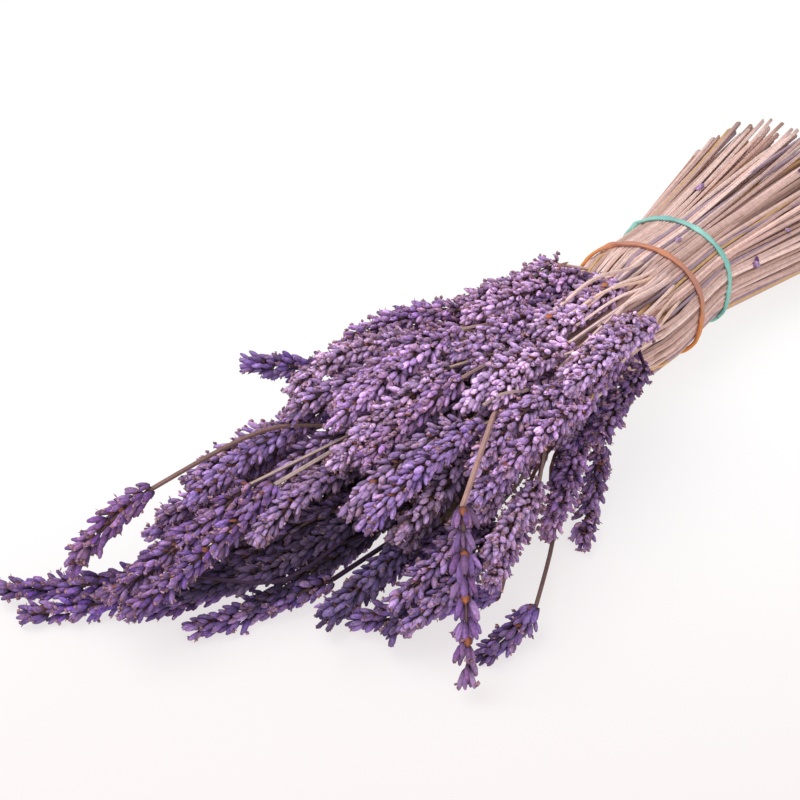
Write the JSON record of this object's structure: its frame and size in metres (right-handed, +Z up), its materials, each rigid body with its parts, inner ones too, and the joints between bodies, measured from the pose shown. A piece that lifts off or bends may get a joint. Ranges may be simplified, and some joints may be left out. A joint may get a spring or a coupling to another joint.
{
  "type": "bunch of dried lavender",
  "caption": "A tied bunch of dried lavender lying on its side, flower spikes spread at one end and cut stalks at the other, held by two rubber bands.",
  "frame": {"origin": "middle of the footprint, on the table that the bunch lies on", "axes": "+X along the bunch from the cut ends to the flower spikes, +Y across it, +Z up"},
  "size_m": [0.4266, 0.1668, 0.0628],
  "materials": {
    "spikes": "matt",
    "stalks": "matt",
    "band_mint": "satin",
    "band_amber": "satin"
  },
  "bodies": {
    "root": {"band_amber": "band_amber", "band_mint": "band_mint", "spike_01": "spikes", "spike_02": "spikes", "spike_03": "spikes", "spike_04": "spikes", "spike_05": "spikes", "spike_06": "spikes", "spike_07": "spikes", "spike_08": "spikes", "spike_09": "spikes", "spike_10": "spikes", "spike_11": "spikes", "spike_12": "spikes", "spike_13": "spikes", "spike_14": "spikes", "spike_15": "spikes", "spike_16": "spikes", "spike_17": "spikes", "spike_18": "spikes", "spike_19": "spikes", "spike_20": "spikes", "spike_21": "spikes", "spike_22": "spikes", "spike_23": "spikes", "spike_24": "spikes", "spike_25": "spikes", "spike_26": "spikes", "spike_27": "spikes", "spike_28": "spikes", "spike_29": "spikes", "spike_30": "spikes", "spike_31": "spikes", "spike_32": "spikes", "spike_33": "spikes", "spike_34": "spikes", "spike_35": "spikes", "spike_36": "spikes", "spike_37": "spikes", "spike_38": "spikes", "spike_39": "spikes", "spike_40": "spikes", "spike_41": "spikes", "spike_42": "spikes", "spike_43": "spikes", "spike_44": "spikes", "spike_45": "spikes", "spike_46": "spikes", "spike_47": "spikes", "stalks": "stalks"}
  },
  "joints": []
}
